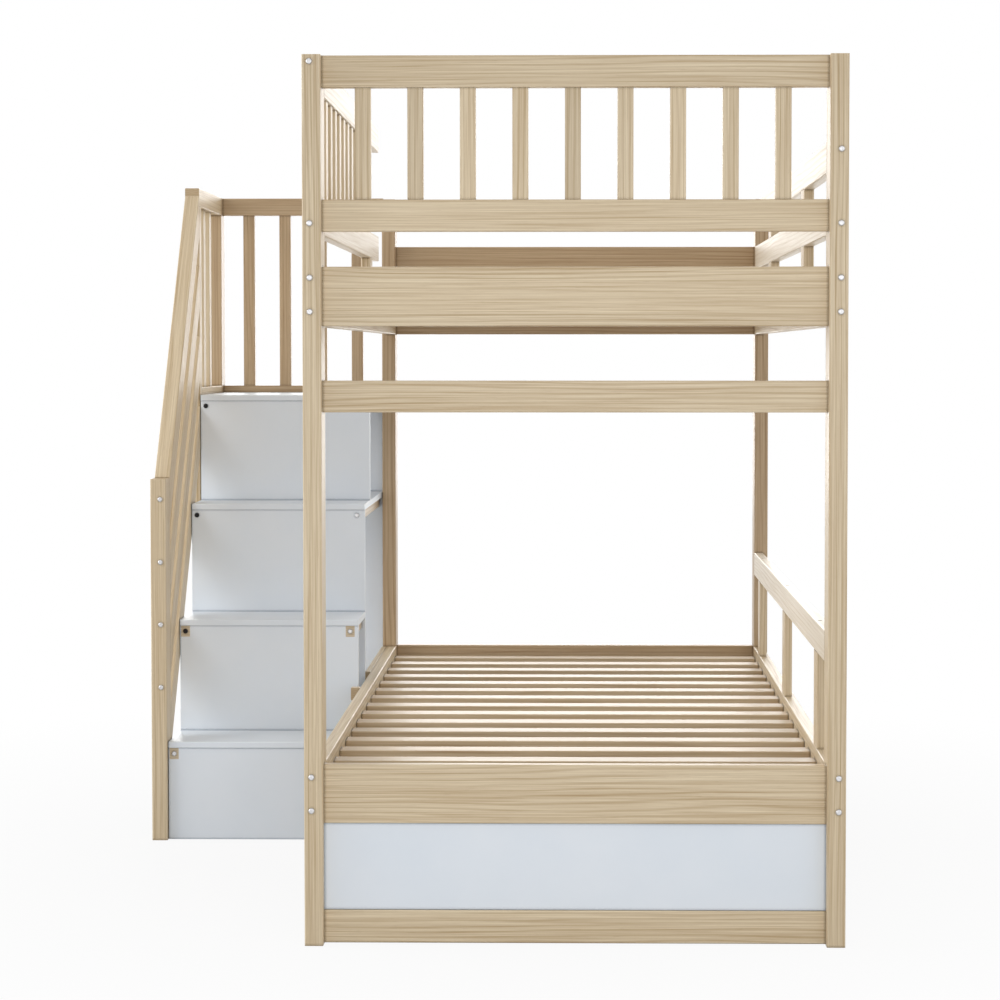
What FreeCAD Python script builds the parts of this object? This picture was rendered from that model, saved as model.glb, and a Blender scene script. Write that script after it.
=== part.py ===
import FreeCAD, Part
import Sketcher
import math
import os

# Bunk bed with storage stairs.
# Frame: +Z up, +Y from the foot end to the head end, +X to the right of someone
# who stands at the foot end.  The origin is on the floor, at the middle of the
# whole footprint, stairs included.  Lengths are millimetres.
# Most pieces are placed from two lines: the middle of the bed (x) and the front
# face of the foot-end posts (y).

os.makedirs("parts", exist_ok=True)
doc = FreeCAD.newDocument("bunk_bed")
sheet = doc.addObject("Spreadsheet::Sheet", "Dims")


# ---------------------------------------------------------------- sizes

class Size:
    """A length with its number and the sheet formula that gives that number."""

    def __init__(self, formula, number):
        self.formula = formula
        self.number = float(number)

    def join(self, sign, other, number):
        return Size("(%s %s %s)" % (self.formula, sign, other.formula), number)

    def __add__(self, other):
        other = size(other)
        return self.join("+", other, self.number + other.number)

    def __radd__(self, other):
        return size(other) + self

    def __sub__(self, other):
        other = size(other)
        return self.join("-", other, self.number - other.number)

    def __rsub__(self, other):
        return size(other) - self

    def __mul__(self, other):
        other = size(other)
        return self.join("*", other, self.number * other.number)

    def __rmul__(self, other):
        return size(other) * self

    def __truediv__(self, other):
        other = size(other)
        return self.join("/", other, self.number / other.number)

    def __neg__(self):
        return size(0) - self


def size(value):
    """Turn a plain number into a Size; a Size stays as it is."""
    return value if isinstance(value, Size) else Size(repr(value), value)


sheet_row = 0


def dim(alias, value):
    """Write one driving dimension in the sheet and return it as a Size."""
    global sheet_row
    sheet_row += 1
    sheet.set("A%d" % sheet_row, alias)
    sheet.set("B%d" % sheet_row, str(value))
    sheet.setAlias("B%d" % sheet_row, alias)
    return Size("Dims." + alias, value)


# the bed
bed_width = dim("bed_width", 1060)
bed_length = dim("bed_length", 2019)
front_height = dim("front_height", 1741.5)
back_height = dim("back_height", 1585)
post_width = dim("post_width", 36.5)
post_depth = dim("post_depth", 75)
recess = dim("rail_recess", 20)
board_thick = dim("board_thick", 25)
side_thick = dim("side_thick", 26)
guard_thick = dim("guard_thick", 24)
support_thick = dim("support_thick", 22)
low_support_thick = dim("low_support_thick", 18)
slim_high = dim("slim_rail_high", 62)
deep_high = dim("deep_rail_high", 116)
edge_round = dim("edge_round", 2.5)
edge_bevel = dim("edge_bevel", 1.5)
panel_thick = dim("panel_thick", 15)
panel_bevel = dim("panel_bevel", 0.8)

# heights of the undersides of the bed's rails
lower_rail_z = dim("lower_rail_z", 239)
upper_rail_z = dim("upper_rail_z", 1215.5)
mid_rail_z = dim("mid_rail_z", 1047.2)
front_guard_z = dim("front_guard_z", 1400)
guard_low_z = dim("guard_low_z", 1394)
right_guard_top_z = dim("right_guard_top_z", 1516)
left_guard_top_z = dim("left_guard_top_z", 1666)
bottom_rail_top = dim("bottom_rail_top", 67)
floor_gap = dim("floor_gap", 2)
low_guard_z = dim("low_guard_z", 553)

# spindles, slats and the short boards that carry the guards
spindle_wide = dim("spindle_wide", 31)
spindle_thick = dim("spindle_thick", 18)
front_spindle_pitch = dim("front_spindle_pitch", 102.3)
front_spindle_offset = dim("front_spindle_offset", 4.2)
side_spindle_wide = dim("side_spindle_wide", 36)
side_spindle_start = dim("side_spindle_start", 138)
side_spindle_pitch = dim("side_spindle_pitch", 92.5)
left_guard_end = dim("left_guard_end", 1388)
left_support_y = dim("left_support_y", 1137)
right_support_y = dim("right_support_y", 540)
low_support_reach = dim("low_support_reach", 760)
slat_wide = dim("slat_wide", 54)
slat_thick = dim("slat_thick", 18)
slat_pitch = dim("slat_pitch", 128.7)
slat_drop = dim("slat_drop", 25)
slat_end_gap = dim("slat_end_gap", 1)
slat_shift = dim("slat_shift", 2)
cleat_wide = dim("cleat_wide", 22)
cleat_high = dim("cleat_high", 25)

# the stairs
stair_width = dim("stair_width", 439)
stair_gap = dim("stair_gap", 2.5)
first_rise = dim("first_rise", 234.5)
rise = dim("rise", 273.5)
riser1_y = dim("riser_one_y", 1042)
riser2_y = dim("riser_two_y", 1221)
riser3_y = dim("riser_three_y", 1412)
riser4_y = dim("riser_four_y", 1568)
stair_back_y = dim("stair_back_y", 1985)
tread_nose = dim("tread_nose", 3)
batten_wide = dim("batten_wide", 22)
batten_high = dim("batten_high", 27)
batten_left_inset = dim("batten_left_inset", 2)
batten_right_inset = dim("batten_right_inset", 9)
base_gap = dim("base_gap", 20)
tie_block_y = dim("tie_block_y", 1111)
tie_block_wide = dim("tie_block_wide", 21.5)
tie_block_deep = dim("tie_block_deep", 24)
tie_block_high = dim("tie_block_high", 30)
packer_wide = dim("packer_wide", 13)
packer_high = dim("packer_high", 62)

# the stair railing
handrail_thick = dim("handrail_thick", 36.5)
railing_gap = dim("railing_gap", 1.5)
railing_front_y = dim("railing_front_y", 1027)
railing_front_top = dim("railing_front_top", 864)
railing_mid_y = dim("railing_mid_y", 1568)
railing_top = dim("railing_top", 1590)
railing_rail_high = dim("railing_rail_high", 47)
railing_low_z = dim("railing_low_z", 1027)
slope = dim("handrail_slope", 1.47)
slope_start_z = dim("slope_start_z", 866)
sloped_board_pitch = dim("sloped_board_pitch", 181.5)
side_upright_y = dim("side_upright_y", 1698)
side_upright_pitch = dim("side_upright_pitch", 100)
rear_spindle_pitch = dim("rear_spindle_pitch", 99.7)

# fasteners
bolt_x = dim("bolt_x", 515.5)
head_radius = dim("head_radius", 6.3)
head_high = dim("head_high", 3.5)
shank_flats = dim("shank_flats", 5)
bore_flats = dim("bore_flats", 5.5)
bolt_grip = dim("bolt_grip", 35)
short_bolt = dim("short_bolt", 50)
bore_spare = dim("bore_spare", 1)
screw_radius = dim("screw_head_radius", 4.5)
screw_high = dim("screw_head_high", 2.5)
screw_sunk = dim("screw_sunk", 3.5)
screw_recess_flats = dim("screw_recess_flats", 10)
socket_flats = dim("socket_flats", 4)
socket_deep = dim("socket_deep", 2)

SLATS = 15
FRONT_SPINDLES = 9
SIDE_SPINDLES = 12
HEAD_SIDES = 12

doc.recompute()

# the whole footprint reaches from the stair railing to the right-hand posts
half_bed = bed_width / 2
stair_right = half_bed + stair_gap
stair_left = stair_right + stair_width
railing_inner = stair_left + railing_gap
railing_outer = railing_inner + handrail_thick
bed_middle = (railing_outer - half_bed) / 2
front_face = -bed_length / 2

inner_half = half_bed - post_width
back_post_y = bed_length - post_depth
back_rail_y = bed_length - recess - board_thick
side_length = bed_length - 2 * post_depth


# ---------------------------------------------------------------- building blocks

LENGTH_PLANE = {"x": "YZ_Plane", "y": "XZ_Plane", "z": "XY_Plane"}


def origin_item(body, role):
    """The plane or axis of a body's own origin."""
    for item in body.Origin.OriginFeatures:
        if item.Role == role:
            return item
    raise ValueError(role)


def place(item, x, y, z):
    """Put a piece at a point counted from the bed's middle line and front face."""
    item.setExpression("Placement.Base.x", (bed_middle + x).formula)
    item.setExpression("Placement.Base.y", (front_face + y).formula)
    item.setExpression("Placement.Base.z", size(z).formula)


def line_loop(sketch, points, first=0):
    """Closed loop of straight lines through points; first is its first line's number."""
    count = len(points)
    for corner in range(count):
        start = FreeCAD.Vector(*points[corner])
        end = FreeCAD.Vector(*points[(corner + 1) % count])
        sketch.addGeometry(Part.LineSegment(start, end))
    for corner in range(count):
        follows = first + (corner + 1) % count
        sketch.addConstraint(Sketcher.Constraint("Coincident", first + corner, 2, follows, 1))


def drive(sketch, rows, suffix=""):
    """Dimensional constraints of a sketch, each bound to its Size."""
    for name, kind, values, length in rows:
        index = sketch.addConstraint(Sketcher.Constraint(kind, *values))
        sketch.renameConstraint(index, name + suffix)
        sketch.setExpression("Constraints." + name + suffix, length.formula)


def new_sketch(body, ending, plane):
    sketch = body.newObject("Sketcher::SketchObject", body.Name + ending)
    sketch.AttachmentSupport = [(origin_item(body, plane), "")]
    sketch.MapMode = "FlatFace"
    return sketch


def round_section(sketch, wide, high, radius):
    """Rectangle with round corners whose lower left corner is at the origin."""
    w, h, r = wide.number, high.number, radius.number
    sides = [((r, 0), (w - r, 0)), ((w, r), (w, h - r)), ((w - r, h), (r, h)), ((0, h - r), (0, r))]
    for start, end in sides:
        sketch.addGeometry(Part.LineSegment(FreeCAD.Vector(*start), FreeCAD.Vector(*end)))
    for x, y, turn in ((w - r, r, -90), (w - r, h - r, 0), (r, h - r, 90), (r, r, 180)):
        circle = Part.Circle(FreeCAD.Vector(x, y), FreeCAD.Vector(0, 0, 1), r)
        first = math.radians(turn)
        sketch.addGeometry(Part.ArcOfCircle(circle, first, first + math.pi / 2))
    for side in range(4):
        corner = 4 + side
        sketch.addConstraint(Sketcher.Constraint("Tangent", side, 2, corner, 1))
        sketch.addConstraint(Sketcher.Constraint("Tangent", corner, 2, (side + 1) % 4, 1))
    for corner in (5, 6, 7):
        sketch.addConstraint(Sketcher.Constraint("Equal", 4, corner))
    sketch.addConstraint(Sketcher.Constraint("Horizontal", 0))
    sketch.addConstraint(Sketcher.Constraint("Vertical", 1))
    sketch.addConstraint(Sketcher.Constraint("PointOnObject", 0, 1, -1))
    sketch.addConstraint(Sketcher.Constraint("PointOnObject", 3, 1, -2))
    drive(sketch, [("corner", "Radius", (4, r), radius),
                   ("wide", "DistanceX", (3, 1, 1, 1, w), wide),
                   ("high", "DistanceY", (0, 1, 2, 1, h), high)])


def bevel_section(sketch, wide, high, cut):
    """Rectangle with bevelled corners whose lower left corner is at the origin."""
    w, h, c = wide.number, high.number, cut.number
    line_loop(sketch, [(c, 0), (w - c, 0), (w, c), (w, h - c), (w - c, h), (c, h), (0, h - c),
                       (0, c)])
    for side in (0, 4):
        sketch.addConstraint(Sketcher.Constraint("Horizontal", side))
        sketch.addConstraint(Sketcher.Constraint("Vertical", side + 2))
    for corner in (3, 5, 7):
        sketch.addConstraint(Sketcher.Constraint("Equal", 1, corner))
        sketch.addConstraint(Sketcher.Constraint("Perpendicular", corner - 2, corner))
    sketch.addConstraint(Sketcher.Constraint("PointOnObject", 0, 1, -1))
    sketch.addConstraint(Sketcher.Constraint("PointOnObject", 6, 1, -2))
    drive(sketch, [("cut_x", "DistanceX", (1, 1, 1, 2, c), cut),
                   ("cut_y", "DistanceY", (1, 1, 1, 2, c), cut),
                   ("wide", "DistanceX", (6, 1, 2, 1, w), wide),
                   ("high", "DistanceY", (0, 1, 4, 1, h), high)])


def board(name, along, length, wide, high, at, rounded=None, bevel=edge_bevel):
    """A straight board whose long edges are rounded, or else bevelled.

    along is the axis of its length.  wide and high are its section: x and y for
    a standing board, x and z for one along y, y and z for one along x.
    """
    body = doc.addObject("PartDesign::Body", name)
    body.Label = name
    body.AllowCompound = True
    sketch = new_sketch(body, "_section", LENGTH_PLANE[along])
    if rounded:
        round_section(sketch, size(wide), size(high), rounded)
    else:
        bevel_section(sketch, size(wide), size(high), bevel)
    pad = body.newObject("PartDesign::Pad", name + "_pad")
    pad.Profile = sketch
    pad.Reversed = along == "y"
    pad.setExpression("Length", size(length).formula)
    place(body, *at)
    return body


def repeat(body, axis, count, pitch):
    """Repeat a body's board along one axis, as separate solids."""
    source = body.Tip
    row = body.newObject("PartDesign::LinearPattern", body.Name + "_row")
    row.Originals = [source]
    row.Direction = (origin_item(body, axis + "_Axis"), [""])
    row.Occurrences = count
    row.setExpression("Length", (size(pitch) * (count - 1)).formula)
    body.Tip = row
    return body


def bores(body, spots, depth=None, start=0, upright=False, flats=bore_flats):
    """Clearance bores for bolts, eight-sided, at spots of the piece's own frame.

    They run along y at (x, z) spots, or straight down at (x, y) spots when
    upright is set.  Without a depth they go right through.  start is the y, or
    the z, where they begin; a negative depth drills the other way.
    """
    sketch = new_sketch(body, "_bores", "XY_Plane" if upright else "XZ_Plane")
    offset = size(start) if upright else -size(start)
    sketch.setExpression("AttachmentOffset.Base.z", offset.formula)
    half = flats / 2
    side = Size("(%s * tan(22.5 deg))" % half.formula, half.number * math.tan(math.radians(22.5)))
    h, k = half.number, side.number
    for spot, (x, z) in enumerate(spots):
        x, z = size(x), size(z)
        first = 8 * spot
        around = [(-k, -h), (k, -h), (h, -k), (h, k), (k, h), (-k, h), (-h, k), (-h, -k)]
        line_loop(sketch, [(x.number + dx, z.number + dz) for dx, dz in around], first)
        for line in (first, first + 4):
            sketch.addConstraint(Sketcher.Constraint("Horizontal", line))
            sketch.addConstraint(Sketcher.Constraint("Vertical", line + 2))
        for line in range(first + 1, first + 8):
            sketch.addConstraint(Sketcher.Constraint("Equal", first, line))
        drive(sketch, [("side", "DistanceX", (first, 1, first, 2, 2 * k), side * 2),
                       ("flats", "DistanceY", (first, 1, first + 4, 1, 2 * h), half * 2),
                       ("across", "DistanceX", (-1, 1, first, 1, x.number - k), x - side),
                       ("up", "DistanceY", (-1, 1, first, 1, z.number - h), z - half)],
              "_%d" % spot)
    pocket = body.newObject("PartDesign::Pocket", body.Name + "_drilled")
    pocket.Profile = sketch
    if depth is None:
        pocket.Type = "ThroughAll"
    else:
        depth = size(depth)
        pocket.Reversed = depth.number < 0
        pocket.setExpression("Length", (depth if depth.number > 0 else -depth).formula)
    return pocket


def ease(body, kind, length, wanted):
    """Fillet or Chamfer the edges of a body that pass a test."""
    doc.recompute()
    base = body.Tip
    names = []
    for number, edge in enumerate(base.Shape.Edges, 1):
        if wanted(edge.tangentAt(edge.FirstParameter)):
            names.append("Edge%d" % number)
    eased = body.newObject("PartDesign::" + kind, body.Name + "_eased")
    eased.Base = (base, names)
    eased.setExpression("Radius" if kind == "Fillet" else "Size", length.formula)


def group(name, pieces):
    """Several like pieces kept together as separate solids of one sub-part."""
    compound = doc.addObject("Part::Compound", name)
    compound.Label = name
    compound.Links = pieces
    return compound


sub_parts = []


def keep(item):
    sub_parts.append(item)
    return item


# ---------------------------------------------------------------- posts of the bed

upper_bolts = [upper_rail_z + deep_high * 0.24, upper_rail_z + deep_high * 0.81]
lower_bolts = [lower_rail_z + deep_high * 0.24, lower_rail_z + deep_high * 0.81]
side_bolts = lower_bolts + upper_bolts
guard_bolt = guard_low_z + 21
left_guard_bolts = [guard_bolt, left_guard_top_z + slim_high]
right_guard_bolts = [guard_bolt, right_guard_top_z + 42]


def post(name, side, y, height, guard_bolts):
    """A standing post; side is -1 at the left of the bed and 1 at the right.

    The side rails' bolts go right through it, and the guards' bolts end inside it.
    """
    x = -half_bed if side < 0 else inner_half
    body = board(name, "z", height, post_width, post_depth, (x, y, 0), rounded=edge_round)
    bolt_in_post = side * bolt_x - x
    bores(body, [(bolt_in_post, z) for z in side_bolts])
    guard_spots = [(bolt_in_post, z) for z in guard_bolts]
    blind = short_bolt + bore_spare
    if guard_spots and y is back_post_y:
        bores(body, guard_spots, depth=-blind, start=post_depth)
    elif guard_spots:
        bores(body, guard_spots, depth=blind)
    keep(body)


post("post_front_left", -1, 0, front_height, left_guard_bolts)
post("post_front_right", 1, 0, front_height, right_guard_bolts)
post("post_back_left", -1, back_post_y, back_height, [])
post("post_back_right", 1, back_post_y, back_height, right_guard_bolts)


# ---------------------------------------------------------------- foot end and head end

def end_rail(name, y, z, high):
    """A rail across the bed between two posts."""
    keep(board(name, "x", 2 * inner_half, board_thick, high, (-inner_half, y, z),
               rounded=edge_round))


end_rail("front_top_rail", recess, front_height - slim_high, slim_high)
end_rail("front_guard_rail", recess, front_guard_z, slim_high)
end_rail("front_upper_rail", recess, upper_rail_z, deep_high)
end_rail("front_mid_rail", recess, mid_rail_z, slim_high)
end_rail("front_lower_rail", recess, lower_rail_z, deep_high)
end_rail("front_bottom_rail", recess, floor_gap, bottom_rail_top - floor_gap)
end_rail("back_top_rail", back_rail_y, right_guard_top_z, slim_high)
end_rail("back_guard_rail", back_rail_y, guard_low_z, slim_high)
end_rail("back_upper_rail", back_rail_y, upper_rail_z, deep_high)
end_rail("back_lower_rail", back_rail_y, lower_rail_z, deep_high)
end_rail("back_bottom_rail", back_rail_y, floor_gap, bottom_rail_top - floor_gap)


def foot_panel(name, y):
    """The painted panel between the lower end rail and the bottom rail."""
    inset = (board_thick - panel_thick) / 2
    high = lower_rail_z - bottom_rail_top
    keep(board(name, "x", 2 * inner_half, panel_thick, high,
               (-inner_half, y + inset, bottom_rail_top), bevel=panel_bevel))


foot_panel("front_foot_panel", recess)
foot_panel("back_foot_panel", back_rail_y)

front_spindle_high = front_height - slim_high - front_guard_z - slim_high
half_front_row = (front_spindle_pitch * (FRONT_SPINDLES - 1) + spindle_wide) / 2
first_front_spindle = -half_front_row - front_spindle_offset
front_spindles = board("front_spindles", "z", front_spindle_high, spindle_wide, spindle_thick,
                       (first_front_spindle, recess + (board_thick - spindle_thick) / 2,
                        front_guard_z + slim_high))
keep(repeat(front_spindles, "X", FRONT_SPINDLES, front_spindle_pitch))


# ---------------------------------------------------------------- long sides

def side_rail(name, side, z, high, thick, length=side_length, rounded=None):
    """A rail along the bed, flush with the inner faces of its posts."""
    x = -inner_half - thick if side < 0 else inner_half
    return keep(board(name, "y", length, thick, high, (x, post_depth, z), rounded=rounded))


for level, rail_z, rail_bolts in (("lower", lower_rail_z, lower_bolts),
                                  ("upper", upper_rail_z, upper_bolts)):
    for hand, side in (("left", -1), ("right", 1)):
        rail = side_rail("side_rail_%s_%s" % (level, hand), side, rail_z, deep_high, side_thick,
                         rounded=edge_round)
        from_inside = bolt_x - inner_half
        bolt_in_rail = from_inside if side > 0 else side_thick - from_inside
        spots = [(bolt_in_rail, bolt - rail_z) for bolt in rail_bolts]
        bores(rail, spots, depth=bolt_grip)
        bores(rail, spots, depth=-bolt_grip, start=side_length)

side_rail("right_guard_low_rail", 1, guard_low_z, slim_high, guard_thick)
side_rail("right_guard_top_rail", 1, right_guard_top_z, slim_high, guard_thick)

# the low guard's rail is screwed down on its supports, with the heads sunk in it
low_rail = side_rail("low_guard_rail", 1, low_guard_z, slim_high, guard_thick)
low_support_middle = [bed_length / 2 + low_support_reach * row for row in (-1, 0, 1)]
screw_x = low_support_thick / 2
screw_spots = [(screw_x, y - post_depth) for y in low_support_middle]
bores(low_rail, screw_spots, start=slim_high, upright=True)
bores(low_rail, screw_spots, depth=screw_sunk, start=slim_high, upright=True,
      flats=screw_recess_flats)

# the left guard stops short of the head end, where the stairs come up
left_guard_length = left_guard_end - post_depth
side_rail("left_guard_low_rail", -1, guard_low_z, slim_high, guard_thick, left_guard_length)
side_rail("left_guard_top_rail", -1, left_guard_top_z, slim_high, guard_thick, left_guard_length)

spindle_low = guard_low_z + slim_high
left_spindles = board("left_guard_spindles", "z", left_guard_top_z - spindle_low, spindle_thick,
                      side_spindle_wide, (-inner_half - (guard_thick + spindle_thick) / 2,
                                          side_spindle_start, spindle_low))
keep(repeat(left_spindles, "Y", SIDE_SPINDLES, side_spindle_pitch))


def guard_support(name, side, y, low, high, thick=support_thick):
    """A short standing board between a side rail and a guard rail."""
    x = -inner_half - thick if side < 0 else inner_half
    return board(name, "z", high - low, thick, slim_high, (x, y, low))


upper_rail_top = upper_rail_z + deep_high
lower_rail_top = lower_rail_z + deep_high
keep(guard_support("left_guard_support", -1, left_support_y, upper_rail_top, guard_low_z))

supports = []
for spot, support_y in enumerate((right_support_y, bed_length - right_support_y - slim_high)):
    supports.append(guard_support("right_support_low_%d" % spot, 1, support_y, upper_rail_top,
                                  guard_low_z))
    supports.append(guard_support("right_support_top_%d" % spot, 1, support_y, spindle_low,
                                  right_guard_top_z))
keep(group("right_guard_supports", supports))

low_support_high = low_guard_z - lower_rail_top
low_support_rows = []
for row, middle in enumerate(low_support_middle):
    support = guard_support("low_support_%d" % row, 1, middle - slim_high / 2, lower_rail_top,
                            low_guard_z, low_support_thick)
    bores(support, [(screw_x, slim_high / 2)], depth=bolt_grip, start=low_support_high,
          upright=True)
    low_support_rows.append(support)
keep(group("low_guard_supports", low_support_rows))


# ---------------------------------------------------------------- slats and their cleats

def bunk_base(name, rail_top):
    """The slats of one bunk and the two cleats that carry them."""
    slat_z = rail_top - slat_drop - slat_thick
    slat_half = inner_half - slat_end_gap
    rows_deep = slat_pitch * (SLATS - 1) + slat_wide
    slats = board(name + "_slats", "x", 2 * slat_half, slat_wide, slat_thick,
                  (-slat_half, (bed_length - rows_deep) / 2 + slat_shift, slat_z))
    keep(repeat(slats, "Y", SLATS, slat_pitch))
    cleats = board(name + "_cleats", "y", side_length, cleat_wide, cleat_high,
                   (-inner_half, post_depth, slat_z - cleat_high))
    keep(repeat(cleats, "X", 2, 2 * inner_half - cleat_wide))


bunk_base("lower", lower_rail_top)
bunk_base("upper", upper_rail_top)


# ---------------------------------------------------------------- stairs

tread_top = [first_rise, first_rise + rise, first_rise + 2 * rise, first_rise + 3 * rise]
riser_y = [riser1_y, riser2_y, riser3_y, riser4_y]
tread_back = [riser2_y, riser3_y, stair_back_y, stair_back_y + panel_thick]
batten_x = [-stair_left + batten_left_inset, -stair_right - batten_right_inset - batten_wide]


def tread(number):
    """A painted tread whose nose stands a little proud of its riser."""
    front = riser_y[number] - tread_nose
    keep(board("stair_tread_%d" % (number + 1), "x", stair_width, tread_back[number] - front,
               panel_thick, (-stair_left, front, tread_top[number] - panel_thick),
               edge_round))


def riser(number):
    """A painted riser.

    The first three stand on the floor, and the fourth on the third tread.
    Two corners of the first two are cut out for the battens' ends, and
    the bolts of the others go through bores.
    """
    low = tread_top[2] if number == 3 else size(0)
    high = tread_top[number] - panel_thick - low
    name = "stair_riser_%d" % (number + 1)
    body = board(name, "x", stair_width, panel_thick, high, (-stair_left, riser_y[number], low),
                 bevel=panel_bevel)
    if number < 2:
        notch_corners(body, high)
    else:
        spots = [(x + stair_left + batten_wide / 2, high - batten_high / 2) for x in batten_x]
        bores(body, spots)
    keep(body)


def notch_corners(body, high):
    """Cut the two upper corners out of a riser, as deep as a batten is high."""
    sketch = new_sketch(body, "_notches", "XZ_Plane")
    for number, x in enumerate(batten_x):
        left = x + stair_left
        right = left + batten_wide
        low = high - batten_high
        over = high + 1
        x0, x1, z0, z1 = left.number, right.number, low.number, over.number
        first = 4 * number
        line_loop(sketch, [(x0, z0), (x1, z0), (x1, z1), (x0, z1)], first)
        for line in (first, first + 2):
            sketch.addConstraint(Sketcher.Constraint("Horizontal", line))
            sketch.addConstraint(Sketcher.Constraint("Vertical", line + 1))
        drive(sketch, [("left", "DistanceX", (-1, 1, first, 1, x0), left),
                       ("right", "DistanceX", (-1, 1, first, 2, x1), right),
                       ("low", "DistanceY", (-1, 1, first, 1, z0), low),
                       ("high", "DistanceY", (-1, 1, first + 2, 1, z1), over)],
              "_%d" % number)
    pocket = body.newObject("PartDesign::Pocket", body.Name + "_cut")
    pocket.Profile = sketch
    pocket.Type = "ThroughAll"


for step in range(4):
    riser(step)
    tread(step)

keep(board("stair_back_panel", "x", stair_width, panel_thick, tread_top[3] - panel_thick,
           (-stair_left, stair_back_y, 0), bevel=panel_bevel))

# battens under both ends of each tread; the first two reach through the riser
battens = []
for step in range(4):
    batten_start = riser_y[step] + (0 if step < 2 else panel_thick)
    batten_end = stair_back_y if step > 1 else riser_y[step + 1]
    batten_z = tread_top[step] - panel_thick - batten_high
    for side_number, x in enumerate(batten_x):
        batten = board("batten_%d_%d" % (step, side_number), "y", batten_end - batten_start,
                       batten_wide, batten_high, (x, batten_start, batten_z), bevel=panel_bevel)
        spot = [(batten_wide / 2, batten_high / 2)]
        bores(batten, spot, depth=bolt_grip + panel_thick)
        battens.append(batten)
keep(group("stair_battens", battens))

# cupboard floors between the risers
floors = []
for cell, (cell_front, cell_back) in enumerate(((riser1_y, riser2_y), (riser2_y, riser3_y),
                                                (riser3_y, stair_back_y))):
    floors.append(board("floor_%d" % cell, "x", stair_width, cell_back - cell_front - panel_thick,
                        panel_thick, (-stair_left, cell_front + panel_thick, base_gap),
                        bevel=panel_bevel))
keep(group("stair_floor_boards", floors))

# a short block on the bed's side rail above the first tread, and the long packer
# that fills the gap between that rail and the stair behind the third riser
rail_outer = -inner_half - side_thick
short_block = board("tie_block", "y", tie_block_deep, tie_block_wide, tie_block_high,
                    (rail_outer - tie_block_wide, tie_block_y, lower_rail_top - tie_block_high),
                    bevel=panel_bevel)
packer = board("packer", "y", back_post_y - riser3_y, packer_wide, packer_high,
               (rail_outer - packer_wide, riser3_y, lower_rail_top - packer_high),
               bevel=panel_bevel)
keep(group("stair_tie_block", [short_block, packer]))


# ---------------------------------------------------------------- stair railing

railing_x = -railing_outer
corner_post_y = bed_length - slim_high
railing_bolt_x = handrail_thick - 13
railing_bolt_heights = [dim("railing_bolt_%d" % number, height)
                        for number, height in enumerate((367, 517, 666, 816), 1)]
doc.recompute()

# the two upper bolts reach the ends of sloped boards, and the two lower ones end in the post
front_stair_post = board("railing_front_post", "z", railing_front_top, handrail_thick, slim_high,
                         (railing_x, railing_front_y, 0), rounded=edge_round)
short_railing_bolts = railing_bolt_heights[:2]
long_railing_bolts = railing_bolt_heights[2:]
bores(front_stair_post, [(railing_bolt_x, z) for z in long_railing_bolts])
bores(front_stair_post, [(railing_bolt_x, z) for z in short_railing_bolts],
      depth=short_bolt + bore_spare)
keep(front_stair_post)
mid_post_low = tread_top[2] - panel_thick - batten_high
keep(board("railing_mid_post", "z", railing_top - railing_rail_high - mid_post_low,
           handrail_thick, handrail_thick, (railing_x, railing_mid_y, mid_post_low),
           rounded=edge_round))
keep(board("railing_corner_post", "z", railing_top, handrail_thick, slim_high,
           (railing_x, corner_post_y, 0)))


def sloped_board(name, drop):
    """A board of the railing that climbs with the stairs.

    Both ends are cut plumb, against the front post and the middle post.  drop is
    how far it lies below the handrail, straight down.
    """
    body = doc.addObject("PartDesign::Body", name)
    body.Label = name
    run = railing_mid_y - railing_front_y - slim_high
    start = slope_start_z - drop
    plumb_high = Size("(%s * sqrt(1 + %s ^ 2))" % (slim_high.formula, slope.formula),
                      slim_high.number * math.hypot(1, slope.number))
    sketch = new_sketch(body, "_side", "YZ_Plane")
    climb = run * slope
    low = start - plumb_high
    line_loop(sketch, [(0, low.number), (run.number, low.number + climb.number),
                       (run.number, start.number + climb.number), (0, start.number)])
    sketch.addConstraint(Sketcher.Constraint("Vertical", 1))
    sketch.addConstraint(Sketcher.Constraint("Vertical", 3))
    sketch.addConstraint(Sketcher.Constraint("PointOnObject", 0, 1, -2))
    sketch.addConstraint(Sketcher.Constraint("Parallel", 0, 2))
    drive(sketch, [("run", "DistanceX", (0, 1, 0, 2, run.number), run),
                   ("climb", "DistanceY", (0, 1, 0, 2, climb.number), climb),
                   ("low", "DistanceY", (-1, 1, 0, 1, low.number), low),
                   ("top", "DistanceY", (0, 1, 3, 1, plumb_high.number), plumb_high)])
    pad = body.newObject("PartDesign::Pad", name + "_pad")
    pad.Profile = sketch
    pad.setExpression("Length", handrail_thick.formula)
    place(body, railing_x, railing_front_y + slim_high, 0)
    return body


def is_sloped(direction):
    return abs(direction.y) > 0.2 and abs(direction.z) > 0.2


sloped = []
for row in range(4):
    if row == 0:
        sloped_body = sloped_board("railing_handrail", size(0))
        ease(sloped_body, "Fillet", edge_round, is_sloped)
    else:
        sloped_body = sloped_board("sloped_board_%d" % row, sloped_board_pitch * row)
        ease(sloped_body, "Chamfer", edge_bevel, is_sloped)
    if row < len(long_railing_bolts):
        bores(sloped_body, [(railing_bolt_x, long_railing_bolts[-1 - row])], depth=bolt_grip)
    sloped.append(sloped_body)
keep(sloped[0])
keep(group("railing_sloped_boards", sloped[1:]))

side_run_start = railing_mid_y + handrail_thick
side_rails = [board("side_run_top", "y", corner_post_y - railing_mid_y, handrail_thick,
                    railing_rail_high, (railing_x, railing_mid_y, railing_top - railing_rail_high)),
              board("side_run_low", "y", corner_post_y - side_run_start, handrail_thick,
                    railing_rail_high, (railing_x, side_run_start, railing_low_z))]
keep(group("railing_side_rails", side_rails))

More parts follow.
